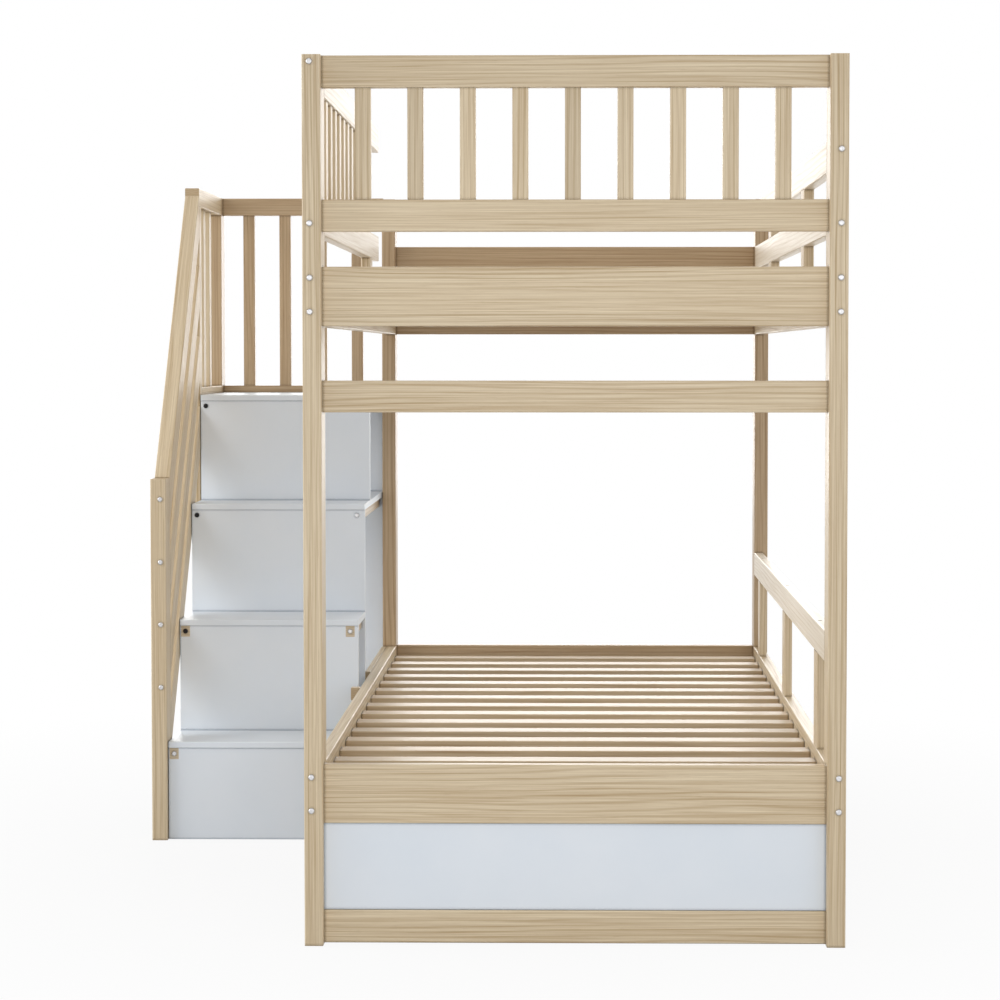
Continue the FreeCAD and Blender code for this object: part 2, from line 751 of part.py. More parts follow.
upright_low = railing_low_z + railing_rail_high
upright_high = railing_top - railing_rail_high - upright_low
side_uprights = board("railing_side_spindles", "z", upright_high, spindle_thick,
                      side_spindle_wide, (railing_x + (handrail_thick - spindle_thick) / 2,
                                          side_upright_y, upright_low))
keep(repeat(side_uprights, "Y", 2, side_upright_pitch))

# the railing across the head end of the stairs
rear_span = railing_inner - half_bed
rear_rails = board("railing_rear_rails", "x", rear_span, board_thick, railing_rail_high,
                   (-railing_inner, stair_back_y, railing_low_z))
keep(repeat(rear_rails, "Z", 2, railing_top - railing_rail_high - railing_low_z))
rear_margin = (rear_span - 3 * rear_spindle_pitch - spindle_wide) / 2
rear_uprights = board("railing_rear_spindles", "z", upright_high, spindle_wide, spindle_thick,
                      (-railing_inner + rear_margin,
                       stair_back_y + (board_thick - spindle_thick) / 2, upright_low))
keep(repeat(rear_uprights, "X", 4, rear_spindle_pitch))


# ---------------------------------------------------------------- fasteners

def ring(radius, y, sides):
    """Closed regular polygon about the y axis."""
    turns = [2 * math.pi * (corner + 0.5) / sides for corner in range(sides + 1)]
    return Part.makePolygon([FreeCAD.Vector(radius * math.cos(turn), y, radius * math.sin(turn))
                             for turn in turns])


def prism(flats, y, length, sides):
    """Solid prism along +y, measured across its flats."""
    corner_radius = flats / 2 / math.cos(math.pi / sides)
    return Part.Face(ring(corner_radius, y, sides)).extrude(FreeCAD.Vector(0, length, 0))


def bolt_shape(length, radius, high):
    """A button-head bolt along +y whose head rests on the plane y = 0."""
    head = Part.makeLoft([ring(radius, 0, HEAD_SIDES), ring(radius * 0.7, -high, HEAD_SIDES)],
                         True, True)
    socket = prism(socket_flats.number, -high - 1, socket_deep.number + 1, 6)
    shank = prism(shank_flats.number, -high * 0.2, length + high * 0.2, 8)
    return head.cut(socket).fuse(shank).removeSplitter()


def fastener_node(name, fasteners, radius=head_radius, high=head_high):
    """Bolts as separate solids; each is (x, y, z, turn axis, turn, length)."""
    solids = []
    for x, y, z, axis, turn, length in fasteners:
        shape = bolt_shape(length, radius.number, high.number)
        shape.Placement = FreeCAD.Placement(
            FreeCAD.Vector(bed_middle.number + x, front_face.number + y, z),
            FreeCAD.Rotation(axis, turn))
        solids.append(shape)
    feature = doc.addObject("Part::Feature", name)
    feature.Label = name
    feature.Shape = Part.makeCompound(solids)
    return keep(feature)


UP = FreeCAD.Vector(0, 0, 1)
ACROSS = FreeCAD.Vector(1, 0, 0)
through_post = (post_depth + bolt_grip - bore_spare).number

bed_fasteners = []
for side, y, turn, guard_bolts in ((-1, 0, 0, left_guard_bolts), (1, 0, 0, right_guard_bolts),
                                   (-1, bed_length.number, 180, []),
                                   (1, bed_length.number, 180, right_guard_bolts)):
    for z in side_bolts:
        bed_fasteners.append((side * bolt_x.number, y, z.number, UP, turn, through_post))
    for z in guard_bolts:
        bed_fasteners.append((side * bolt_x.number, y, z.number, UP, turn, short_bolt.number))
fastener_node("bed_bolts", bed_fasteners)

screw_length = (slim_high - screw_sunk + bolt_grip - bore_spare).number
screw_seat = (low_guard_z + slim_high - screw_sunk).number
guard_screws = [((inner_half + screw_x).number, y.number, screw_seat, ACROSS, -90, screw_length)
                for y in low_support_middle]
fastener_node("low_guard_screws", guard_screws, screw_radius, screw_high)

# the stair's bolts are black at its outer side above the first step
batten_bolt_x = [(x + batten_wide / 2).number for x in batten_x]
batten_bolt_length = (bolt_grip + panel_thick - bore_spare).number
through_railing_post = (slim_high + bolt_grip - bore_spare).number
bright_bolts = []
for heights, length in ((short_railing_bolts, short_bolt.number),
                        (long_railing_bolts, through_railing_post)):
    for z in heights:
        bright_bolts.append(((railing_x + railing_bolt_x).number, railing_front_y.number, z.number,
                             UP, 0, length))
black_bolts = []
for step in range(4):
    bolt_z = tread_top[step].number - panel_thick.number - batten_high.number / 2
    for side_number, x in enumerate(batten_bolt_x):
        row = black_bolts if side_number == 0 and step > 0 else bright_bolts
        row.append((x, riser_y[step].number, bolt_z, UP, 0, batten_bolt_length))
fastener_node("stair_bolts", bright_bolts)
fastener_node("stair_black_bolts", black_bolts)


# ---------------------------------------------------------------- check and write

doc.recompute()
for item in doc.Objects:
    if "Invalid" in item.State or "Error" in item.State:
        raise RuntimeError("failed: %s %s" % (item.Label, item.State))
for item in sub_parts:
    if item.Shape.isNull() or not item.Shape.isValid():
        raise RuntimeError("bad shape: " + item.Label)

whole = Part.makeCompound([item.Shape for item in sub_parts])
print("sub-parts", len(sub_parts), "solids", len(whole.Solids))
print("bounds", whole.BoundBox)
for item in sub_parts:
    item.Shape.exportStep("parts/%s.step" % item.Label)
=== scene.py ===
# %% [markdown]
# # A bunk bed with storage stairs
#
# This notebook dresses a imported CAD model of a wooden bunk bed. The boards, panels,
# slats and stairs come from the CAD file and keep their shapes. Blender gives them
# oak grain, white paint and zinc, swaps the plain bolt heads for turned ones, and
# photographs the bed in a pale studio.
#
# Lengths are metres. Z is up, and Y runs from the foot end to the head end.

# %% Load the fixed frame
import bmesh
import bpy
import math
from mathutils import Matrix, Vector


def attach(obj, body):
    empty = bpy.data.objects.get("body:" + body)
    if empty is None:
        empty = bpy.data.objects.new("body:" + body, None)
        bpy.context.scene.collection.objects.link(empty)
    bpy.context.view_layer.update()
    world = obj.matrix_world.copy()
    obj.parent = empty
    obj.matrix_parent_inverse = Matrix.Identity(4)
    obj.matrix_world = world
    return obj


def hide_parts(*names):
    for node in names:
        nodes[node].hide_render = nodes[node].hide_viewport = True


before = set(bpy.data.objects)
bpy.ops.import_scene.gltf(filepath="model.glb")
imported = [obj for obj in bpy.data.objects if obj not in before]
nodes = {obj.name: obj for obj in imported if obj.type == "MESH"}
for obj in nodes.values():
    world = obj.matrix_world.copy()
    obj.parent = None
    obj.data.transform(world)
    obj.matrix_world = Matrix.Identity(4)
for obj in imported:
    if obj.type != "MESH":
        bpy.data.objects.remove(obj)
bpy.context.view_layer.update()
print("CAD pieces:", len(nodes))

# %% [markdown]
# ## The camera
#
# Where the camera stood was worked out from the bed's own parallel edges: chest high,
# in front of the foot end, and a long way back. A long lens from there keeps the posts
# almost parallel. The shift only moves the crop, as a studio camera does.

# %% Camera
CAMERA_PLACE = (0.23969, -5.7095, 1.1613)
CAMERA_PITCH = math.radians(90 - 2.19)
CAMERA_YAW = math.radians(0.81)

scene = bpy.context.scene
camera_data = bpy.data.cameras.new("Camera")
camera_data.lens = 87.07
camera_data.sensor_width = 36
camera_data.shift_x = -0.0407
camera_data.shift_y = -0.0535
camera = bpy.data.objects.new("Camera", camera_data)
camera.location = CAMERA_PLACE
camera.rotation_euler = (CAMERA_PITCH, 0, CAMERA_YAW)
scene.collection.objects.link(camera)
scene.camera = camera
print("camera at", CAMERA_PLACE)

# %% [markdown]
# ## Small helpers for materials
#
# A material is a chain of nodes. These helpers add a node, set its plain values by
# socket name and plug other nodes into it, so that a finish below reads as a short list.


# %% Node helpers
def add_node(tree, kind, values=None, **settings):
    """Add a shader node, then set its properties and its sockets' values or links."""
    node = tree.nodes.new(kind)
    for name, value in settings.items():
        setattr(node, name, value)
    for name, value in (values or {}).items():
        socket = node.inputs[name]
        if isinstance(value, bpy.types.NodeSocket):
            tree.links.new(value, socket)
        else:
            socket.default_value = value
    return node


def maths(tree, operation, first, second=0.0, clamp=False):
    """One Math node; its two values may be numbers or sockets."""
    node = add_node(tree, "ShaderNodeMath", {0: first, 1: second}, operation=operation)
    node.use_clamp = clamp
    return node.outputs[0]


def blend_colours(tree, factor, first, second, kind="MIX"):
    """Mix two colours; each may be a colour or a socket."""
    # the Mix node has sockets for every kind of value; 6 and 7 are its two colours
    node = add_node(tree, "ShaderNodeMix", {0: factor, 6: first, 7: second},
                    data_type="RGBA", blend_type=kind)
    return node.outputs[2]


def remap(tree, value, low, high, new_low, new_high):
    """Move a value from one range to another and stop it at the new range's ends."""
    node = add_node(tree, "ShaderNodeMapRange", {"Value": value, "From Min": low,
                                                 "From Max": high, "To Min": new_low,
                                                 "To Max": new_high})
    return node.outputs[0]


def tint(colour, share):
    """A colour made lighter or darker, and kept within white."""
    return tuple(min(1.0, channel * share) for channel in colour[:3]) + (1,)


def seen_directly(tree):
    """1 where the camera, a reflection or a see-through surface looks, 0 for soft light."""
    paths = add_node(tree, "ShaderNodeLightPath").outputs
    return maths(tree, "MAXIMUM", paths["Is Camera Ray"],
                 maths(tree, "MAXIMUM", paths["Is Glossy Ray"],
                       paths["Is Transmission Ray"]))


def new_group(name, inputs, outputs):
    """An empty shader node group with named sockets."""
    group = bpy.data.node_groups.new(name, "ShaderNodeTree")
    for in_out, sockets in (("INPUT", inputs), ("OUTPUT", outputs)):
        for socket_name, kind, value in sockets:
            socket = group.interface.new_socket(socket_name, in_out=in_out,
                                                socket_type="NodeSocket" + kind)
            if value is not None:
                socket.default_value = value
    start = group.nodes.new("NodeGroupInput")
    end = group.nodes.new("NodeGroupOutput")
    return group, start.outputs, end.inputs


print("helpers ready")

# %% [markdown]
# ## Wood grain
#
# A sawn board shows four things at once. There are fine fibres that run its length, wider
# bands of tone, growth lines that wander a little, and short dark pores. One node group
# makes all four from a position whose X runs along the grain, so that the same group
# serves posts, rails and slats. Boards that repeat side by side each get a tone of
# their own: the position is divided by their spacing, and a random value is drawn for
# each whole number.

# %% Wood grain group
grain_group, grain_in, grain_out = new_group(
    "Wood grain",
    [("Position", "Vector", None), ("Facing", "Vector", None),
     ("Light", "Color", (0.7, 0.5, 0.3, 1)), ("Dark", "Color", (0.5, 0.3, 0.2, 1)),
     ("End", "Color", (0.5, 0.35, 0.2, 1)), ("Spacing", "Float", 10.0),
     ("Tone spread", "Float", 0.1), ("Seed", "Float", 0.0)],
    [("Color", "Color", None), ("Roughness", "Float", None), ("Height", "Float", None)])
tree = grain_group

split = add_node(tree, "ShaderNodeSeparateXYZ", {0: grain_in["Position"]})
board_number = maths(tree, "FLOOR", maths(tree, "DIVIDE", split.outputs[1],
                                          grain_in["Spacing"]))
board_draw = add_node(tree, "ShaderNodeTexWhiteNoise",
                      {"W": maths(tree, "ADD", board_number, grain_in["Seed"])},
                      noise_dimensions="1D").outputs["Value"]
shift = add_node(tree, "ShaderNodeCombineXYZ",
                 {0: maths(tree, "MULTIPLY", board_draw, 7.0),
                  1: maths(tree, "MULTIPLY", board_draw, 3.0), 2: grain_in["Seed"]})
place = add_node(tree, "ShaderNodeVectorMath", {0: grain_in["Position"],
                                                1: shift.outputs[0]}).outputs[0]


def stretched(scale, detail, roughness, along, across):
    """Noise that is stretched along the grain."""
    squeezed = add_node(tree, "ShaderNodeVectorMath", {0: place, 1: (along, across, across)},
                        operation="MULTIPLY").outputs[0]
    return add_node(tree, "ShaderNodeTexNoise",
                    {"Vector": squeezed, "Scale": scale, "Detail": detail,
                     "Roughness": roughness}).outputs["Fac"]


fibres = stretched(1.0, 5.0, 0.68, 3.2, 400.0)
bands = stretched(1.0, 3.0, 0.5, 1.1, 34.0)
drift = stretched(1.0, 2.0, 0.5, 0.7, 11.0)
pores = stretched(1.0, 2.0, 0.5, 30.0, 1300.0)

# growth lines: a sine across the board, bent by slow noise so that they wander and close up
LINE_SPACING = 0.0115
LINE_WANDER = 30.0
LINE_TURNS = 2 * math.pi / LINE_SPACING
across_board = add_node(tree, "ShaderNodeSeparateXYZ", {0: place})
both_ways = maths(tree, "ADD", across_board.outputs[1],
                  maths(tree, "MULTIPLY", across_board.outputs[2], 0.6))
line_phase = maths(tree, "ADD", maths(tree, "MULTIPLY", both_ways, LINE_TURNS),
                   maths(tree, "MULTIPLY", stretched(1.0, 3.0, 0.5, 1.0, 9.0),
                         LINE_WANDER))
growth_lines = remap(tree, maths(tree, "SINE", line_phase), 0.1, 1.0, 0.0, 1.0)
line_strength = remap(tree, drift, 0.38, 0.62, 0.35, 1.0)
growth_lines = maths(tree, "MULTIPLY", growth_lines, line_strength)

# how much of the dark colour each kind of mark can bring
FIBRE_SHARE, BAND_SHARE, LINE_SHARE = 0.52, 0.20, 0.32
streak = maths(tree, "MULTIPLY", remap(tree, fibres, 0.36, 0.66, 0.0, 1.0), FIBRE_SHARE)
streak = maths(tree, "ADD", streak,
               maths(tree, "MULTIPLY", remap(tree, bands, 0.3, 0.7, 0.0, 1.0), BAND_SHARE))
streak = maths(tree, "ADD", streak, maths(tree, "MULTIPLY", growth_lines, LINE_SHARE),
               clamp=True)
body_colour = blend_colours(tree, streak, grain_in["Light"], grain_in["Dark"])
pore_mask = remap(tree, pores, 0.66, 0.74, 0.0, 0.32)
body_colour = blend_colours(tree, pore_mask, body_colour, grain_in["Dark"], "MULTIPLY")

# the cut end of a board faces along the grain
faces = add_node(tree, "ShaderNodeSeparateXYZ", {0: grain_in["Facing"]})
end_mask = remap(tree, maths(tree, "ABSOLUTE", faces.outputs[0]), 0.85, 0.97, 0.0, 1.0)
across_place = add_node(tree, "ShaderNodeVectorMath", {0: place, 1: (1.0, 160.0, 160.0)},
                        operation="MULTIPLY").outputs[0]
end_rings = add_node(tree, "ShaderNodeTexWave",
                     {"Vector": across_place, "Scale": 0.35, "Distortion": 5.0,
                      "Detail": 3.0, "Detail Scale": 1.2}, bands_direction="Y").outputs["Fac"]
end_colour = blend_colours(tree, maths(tree, "MULTIPLY", end_rings, 0.45),
                           grain_in["End"], grain_in["Dark"])
wood_colour = blend_colours(tree, end_mask, body_colour, end_colour)

tone = maths(tree, "ADD", 1.0, maths(tree, "MULTIPLY",
                                     maths(tree, "SUBTRACT", board_draw, 0.5),
                                     grain_in["Tone spread"]))
toned = add_node(tree, "ShaderNodeVectorMath", {0: wood_colour}, operation="SCALE")
tree.links.new(tone, toned.inputs["Scale"])
tree.links.new(toned.outputs[0], grain_out["Color"])
# dark marks and cut ends shine less than the lacquered face
FACE_ROUGHNESS, MARK_ROUGHER, END_ROUGHER = 0.36, 0.14, 0.2
rough = maths(tree, "ADD", FACE_ROUGHNESS, maths(tree, "MULTIPLY", streak, MARK_ROUGHER))
rough = maths(tree, "ADD", rough, maths(tree, "MULTIPLY", end_mask, END_ROUGHER))
tree.links.new(rough, grain_out["Roughness"])
height = maths(tree, "SUBTRACT", maths(tree, "MULTIPLY", fibres, -0.5), pore_mask)
tree.links.new(height, grain_out["Height"])
print("wood grain group:", len(grain_group.nodes), "nodes")

# %% [markdown]
# ## Painted edge highlights
#
# The rounded corners of a board catch the light, so a corner looks a little lighter than
# the faces beside it; this group marks where that painted highlight goes, patchy along its
# length. The Bevel node gives the direction that the surface would face if its corners were
# rounder. Where that differs from the real direction there is a corner.

# %% Painted edge highlight group
edge_highlight_group, edge_highlight_in, edge_highlight_out = new_group("Painted edge highlight", [("Width", "Float", 0.002)],
                                          [("Mask", "Float", None)])
softened = add_node(edge_highlight_group, "ShaderNodeBevel", {"Radius": edge_highlight_in["Width"]}, samples=4)
real = add_node(edge_highlight_group, "ShaderNodeNewGeometry")
agreement = add_node(edge_highlight_group, "ShaderNodeVectorMath",
                     {0: softened.outputs[0], 1: real.outputs["Normal"]},
                     operation="DOT_PRODUCT").outputs["Value"]
patchy = add_node(edge_highlight_group, "ShaderNodeTexNoise",
                  {"Vector": add_node(edge_highlight_group, "ShaderNodeTexCoord").outputs["Object"],
                   "Scale": 22.0, "Detail": 3.0}).outputs["Fac"]
# the mask marks where a painted highlight lightens the colour along each corner
corner = remap(edge_highlight_group, agreement, 0.9, 0.995, 1.0, 0.0)
edge_highlight_group.links.new(maths(edge_highlight_group, "MULTIPLY", corner,
                           remap(edge_highlight_group, patchy, 0.35, 0.65, 0.45, 1.0)),
                     edge_highlight_out["Mask"])
print("painted edge highlight group ready")

# %% [markdown]
# ## Shaded joints
#
# Where two boards meet, shade gathers in the last few millimetres, and the
# photograph shows a thin dark line there. Ambient occlusion over a short distance finds
# those corners, and the group's mask paints that shade into the colour. The line comes out softer
# than in the photograph.

# %% Joint shade group
JOINT_REACH = 0.006
joint_group, joint_in, joint_out = new_group("Joint shade", [("Reach", "Float", JOINT_REACH)],
                                             [("Mask", "Float", None)])
hidden = add_node(joint_group, "ShaderNodeAmbientOcclusion", {"Distance": joint_in["Reach"]},
                  samples=2)
# the mask marks where painted shade darkens the colour in the corners
joint_group.links.new(remap(joint_group, hidden.outputs["AO"], 0.45, 0.85, 1.0, 0.0),
                      joint_out["Mask"])
print("joint shade group ready")

# %% [markdown]
# ## Oak for each direction of board
#
# Grain follows the length of a board, so posts, cross rails, side rails and the sloped
# rails each need their own direction. One function makes them all: it turns the position
# until X runs along the board, and passes it to the grain group. The head end gets a darker
# oak, partly its own tone and partly painted shade, and the guards' rails a paler one that is
# painted light, as in the photograph. Each oak also gets a painted highlight on its edges and
# painted shade in its joints.

# %% Wood materials
HANDRAIL_SLOPE = math.atan(1.47)  # rise over run of the handrail
WOOD_EDGE = 0.0025
OAK = {"light": (0.780, 0.662, 0.475, 1), "dark": (0.405, 0.272, 0.130, 1),
       "end": (0.500, 0.385, 0.245, 1)}
# a darker oak for the head end: partly its own tone, partly painted shade
FAR_OAK_WITH_SHADE = {"light": (0.580, 0.440, 0.280, 1), "dark": (0.300, 0.180, 0.080, 1),
           "end": (0.400, 0.290, 0.170, 1)}
# a paler oak for the guards' rails: painted light
LIT_PALE_OAK = {"light": (0.860, 0.780, 0.650, 1), "dark": (0.600, 0.490, 0.340, 1),
            "end": (0.560, 0.450, 0.300, 1)}
BATTEN = {"light": (0.700, 0.590, 0.430, 1), "dark": (0.430, 0.310, 0.180, 1),
          "end": (0.680, 0.580, 0.430, 1)}
PINE = {"light": (0.660, 0.530, 0.360, 1), "dark": (0.370, 0.250, 0.130, 1),
        "end": (0.300, 0.200, 0.100, 1)}


def turned(tree, socket, order, tilt=0.0):
    """Turn a vector so that the board's length comes first."""
    if tilt:
        socket = add_node(tree, "ShaderNodeVectorRotate", {"Vector": socket, "Angle": -tilt},
                          rotation_type="X_AXIS").outputs[0]
    parts = add_node(tree, "ShaderNodeSeparateXYZ", {0: socket}).outputs
    picks = {number: parts["xyz".index(letter)] for number, letter in enumerate(order)}
    return add_node(tree, "ShaderNodeCombineXYZ", picks).outputs[0]


def highlight_and_shade(tree, colour, edge_width, edge, joint_shade):
    """Paint a highlight on the edges and shade into the joints; each is a colour and a strength.
    """
    # the edge colour is a painted highlight along the corners; the joint colour is painted shade
    # in the joints
    painted_highlight_mask = add_node(tree, "ShaderNodeGroup", {"Width": edge_width},
                         node_tree=edge_highlight_group).outputs[0]
    colour = blend_colours(tree, maths(tree, "MULTIPLY", painted_highlight_mask, edge[1]), colour, edge[0])
    painted_shade_mask = add_node(tree, "ShaderNodeGroup", {"Reach": JOINT_REACH},
                          node_tree=joint_group).outputs[0]
    return blend_colours(tree, maths(tree, "MULTIPLY", painted_shade_mask, joint_shade[1]), colour, joint_shade[0])


def wood(name, colours, order, spacing=10.0, start=0.0, spread=0.0, seed=0.0, tilt=0.0):
    """A lacquered wood; order names the axes from the board's length outwards."""
    material = bpy.data.materials.new(name)
    material.use_nodes = True
    tree = material.node_tree
    shader = tree.nodes["Principled BSDF"]
    spot = add_node(tree, "ShaderNodeTexCoord")
    place = turned(tree, spot.outputs["Object"], order, tilt)
    if start:
        place = add_node(tree, "ShaderNodeMapping", {"Vector": place,
                                                     "Location": (0, -start, 0)}).outputs[0]
    grain = add_node(tree, "ShaderNodeGroup",
                     {"Position": place,
                      "Facing": turned(tree, spot.outputs["Normal"], order, tilt),
                      "Light": colours["light"], "Dark": colours["dark"],
                      "End": colours["end"], "Spacing": spacing, "Tone spread": spread,
                      "Seed": seed}, node_tree=grain_group)
    # a lighter tint of the oak paints a highlight on the edges, a dark tint paints shade into the
    # joints
    colour = highlight_and_shade(tree, grain.outputs["Color"], WOOD_EDGE,
                           (tint(colours["light"], 1.18), 0.35),
                           (tint(colours["dark"], 0.35), 0.85))
    tree.links.new(colour, shader.inputs["Base Color"])
    tree.links.new(grain.outputs["Roughness"], shader.inputs["Roughness"])
    shader.inputs["Specular IOR Level"].default_value = 0.5
    bump = add_node(tree, "ShaderNodeBump", {"Height": grain.outputs["Height"],
                                             "Strength": 0.25, "Distance": 0.0004})
    tree.links.new(bump.outputs[0], shader.inputs["Normal"])
    return material


BED_MIDDLE = 0.23975
oak_upright = wood("Oak, upright", OAK, "zxy", seed=1.0)
oak_across = wood("Oak, across", OAK, "xzy", spacing=0.31, spread=0.10, seed=2.0)
# the head end's oaks carry painted shade as well as their own darker tone
far_across_shaded = wood("Oak, across, head end, painted shade", FAR_OAK_WITH_SHADE, "xzy", spacing=0.31, spread=0.08, seed=9.0)
far_upright_shaded = wood("Oak, upright, head end, painted shade", FAR_OAK_WITH_SHADE, "zxy", spacing=0.0997, start=-0.65,
                   spread=0.12, seed=10.0)
oak_along = wood("Oak, lengthwise", OAK, "yzx", spacing=0.29, spread=0.10, seed=3.0)
oak_sloped = wood("Oak, sloped", OAK, "yzx", seed=4.0, tilt=HANDRAIL_SLOPE)
oak_foot_spindles = wood("Oak, foot spindles", OAK, "zxy", spacing=0.1023,
                         start=BED_MIDDLE + 0.05115, spread=0.16, seed=5.0)
oak_side_spindles = wood("Oak, side spindles", OAK, "zyx", spacing=0.0925,
                         start=-0.91, spread=0.16, seed=6.0)
# the pale oak is a lit copy of the oak, painted light
oak_pale_lit = wood("Oak, lengthwise, pale, painted light", LIT_PALE_OAK, "yzx", seed=11.0)
oak_battens = wood("Oak, battens", BATTEN, "yzx", seed=12.0)
pine_slats = wood("Pine, slats", PINE, "xyz", spacing=0.1287, start=-0.065, spread=0.14,
                  seed=7.0)
pine_cleats = wood("Pine, cleats", PINE, "yzx", seed=8.0)
print("woods:", sum(material.name.startswith(("Oak", "Pine")) for material in bpy.data.materials))

# %% [markdown]
# ## White paint
#
# The stairs and the panel under the foot rail are flat boards with a cool white paint.
# Rolled paint isn't perfectly flat: it has a fine orange-peel bump, and its gloss varies
# in soft clouds. Edges get a painted highlight, a touch brighter than the faces, and joints get
# painted shade.

# %% Painted panels
paint = bpy.data.materials.new("White paint, rolled")
paint.use_nodes = True
tree = paint.node_tree
shader = tree.nodes["Principled BSDF"]
spot = add_node(tree, "ShaderNodeTexCoord").outputs["Object"]
clouds = add_node(tree, "ShaderNodeTexNoise", {"Vector": spot, "Scale": 6.0,
                                               "Detail": 4.0}).outputs["Fac"]
peel = add_node(tree, "ShaderNodeTexNoise", {"Vector": spot, "Scale": 900.0,
                                             "Detail": 2.0}).outputs["Fac"]
PAINT_EDGE = 0.0018
flat_colour = blend_colours(tree, remap(tree, clouds, 0.3, 0.7, 0.0, 1.0),
                            (0.790, 0.850, 0.920, 1), (0.830, 0.880, 0.940, 1))
# a pale blue-white paints a highlight on the edges, a dark blue-grey paints shade into the joints
tree.links.new(highlight_and_shade(tree, flat_colour, PAINT_EDGE, ((0.90, 0.93, 0.96, 1), 0.6),
                             ((0.20, 0.25, 0.33, 1), 0.75)), shader.inputs["Base Color"])
tree.links.new(remap(tree, clouds, 0.3, 0.7, 0.36, 0.5), shader.inputs["Roughness"])
shader.inputs["Specular IOR Level"].default_value = 0.4
tree.links.new(add_node(tree, "ShaderNodeBump", {"Height": peel, "Strength": 0.12,
                                                 "Distance": 0.0002}).outputs[0],
               shader.inputs["Normal"])
print("paint ready")

# %% [markdown]
# ## Bright and black bolts
#
# Zinc plate is a soft grey metal whose shine is a little cloudy. Black bolts are the same
# shape with an oxide finish, so both come from one function.


# %% Bolt finishes
def plated(name, colour, metallic, roughness):
    """A metal finish with a little cloudiness in its shine."""
    material = bpy.data.materials.new(name)
    material.use_nodes = True
    tree = material.node_tree
    shader = tree.nodes["Principled BSDF"]
    spot = add_node(tree, "ShaderNodeTexCoord").outputs["Object"]
    cloud = add_node(tree, "ShaderNodeTexNoise", {"Vector": spot, "Scale": 380.0,
                                                  "Detail": 3.0}).outputs["Fac"]
    tree.links.new(blend_colours(tree, cloud, colour, tint(colour, 0.78)),
                   shader.inputs["Base Color"])
    tree.links.new(remap(tree, cloud, 0.3, 0.7, roughness - 0.08, roughness + 0.1),
                   shader.inputs["Roughness"])
    shader.inputs["Metallic"].default_value = metallic
    tree.links.new(add_node(tree, "ShaderNodeBump", {"Height": cloud, "Strength": 0.15,
                                                     "Distance": 0.0001}).outputs[0],
                   shader.inputs["Normal"])
    return material


zinc = plated("Zinc plate", (0.62, 0.62, 0.63, 1), 1.0, 0.36)
black_oxide = plated("Black oxide", (0.016, 0.016, 0.018, 1), 0.6, 0.42)
print("bolt finishes ready")

# %% [markdown]
# ## Dressing the CAD pieces
#
# Each CAD piece keeps its mesh and gets one material. A table from the piece's name to
# its finish is easier to check than a chain of tests.

# %% Give every piece its material
UPRIGHT = ["post_front_left", "post_front_right", "left_guard_support",
           "right_guard_supports", "low_guard_supports", "railing_front_post",
           "railing_mid_post"]
# the head-end pieces get the darker oak, partly painted shade
FAR_UPRIGHT = ["post_back_left", "post_back_right", "railing_corner_post",
               "railing_rear_spindles"]
ACROSS = ["front_top_rail", "front_guard_rail", "front_upper_rail", "front_mid_rail",
          "front_lower_rail", "front_bottom_rail"]
FAR_ACROSS = ["back_top_rail", "back_guard_rail", "back_upper_rail", "back_lower_rail",
              "back_bottom_rail", "railing_rear_rails"]
ALONG = ["side_rail_lower_left", "side_rail_lower_right", "side_rail_upper_left",
         "side_rail_upper_right", "stair_tie_block", "railing_side_rails"]
# these rails get the paler oak, painted light
PALE = ["right_guard_low_rail", "right_guard_top_rail", "low_guard_rail",
        "left_guard_low_rail", "left_guard_top_rail"]
PAINTED = ["front_foot_panel", "back_foot_panel", "stair_riser_1", "stair_riser_2",
           "stair_riser_3", "stair_riser_4", "stair_tread_1", "stair_tread_2",
           "stair_tread_3", "stair_tread_4", "stair_back_panel", "stair_floor_boards"]
FINISHES = [(oak_upright, UPRIGHT), (oak_across, ACROSS), (oak_along, ALONG),
            (far_upright_shaded, FAR_UPRIGHT), (far_across_shaded, FAR_ACROSS), (oak_pale_lit, PALE),
            (oak_battens, ["stair_battens"]),
            (oak_sloped, ["railing_handrail", "railing_sloped_boards"]),
            (oak_foot_spindles, ["front_spindles"]),
            (oak_side_spindles, ["left_guard_spindles", "railing_side_spindles"]),
            (pine_slats, ["lower_slats", "upper_slats"]),
            (pine_cleats, ["lower_cleats", "upper_cleats"]),
            (paint, PAINTED),
            (zinc, ["bed_bolts", "stair_bolts"]),
            (black_oxide, ["stair_black_bolts", "low_guard_screws"])]
dressed = set()
for material, names in FINISHES:
    for name in names:
        mesh = nodes[name].data
        mesh.materials.clear()
        mesh.materials.append(material)
        dressed.add(name)
print("dressed", len(dressed), "of", len(nodes), "left", sorted(set(nodes) - dressed))

# %% [markdown]
# ## Turned bolt heads
#
# The CAD heads have flat sides. A turned head is a short stack of rings: the seat is
# extruded outwards and scaled a little at each step, which rounds it, and then the middle
# is extruded back in as a round socket. The places come from the CAD bolts themselves. The
# imported mesh has its points split at every hard edge, so they are merged first, and then
# each bolt is one loose island.


# %% Turned bolts
SAME_POINT = 0.00001


def islands(mesh):
    """The corner points of each loose island of a mesh."""
    bm = bmesh.new()
    bm.from_mesh(mesh)
    bmesh.ops.remove_doubles(bm, verts=bm.verts, dist=SAME_POINT)
    waiting = set(bm.verts)
    found = []
    while waiting:
        frontier = [waiting.pop()]
        island = []
        while frontier:
            vert = frontier.pop()
            island.append(vert.co.copy())
            for edge in vert.link_edges:
                other = edge.other_vert(vert)
                if other in waiting:
                    waiting.remove(other)
                    frontier.append(other)
        found.append(island)
    bm.free()
    return found


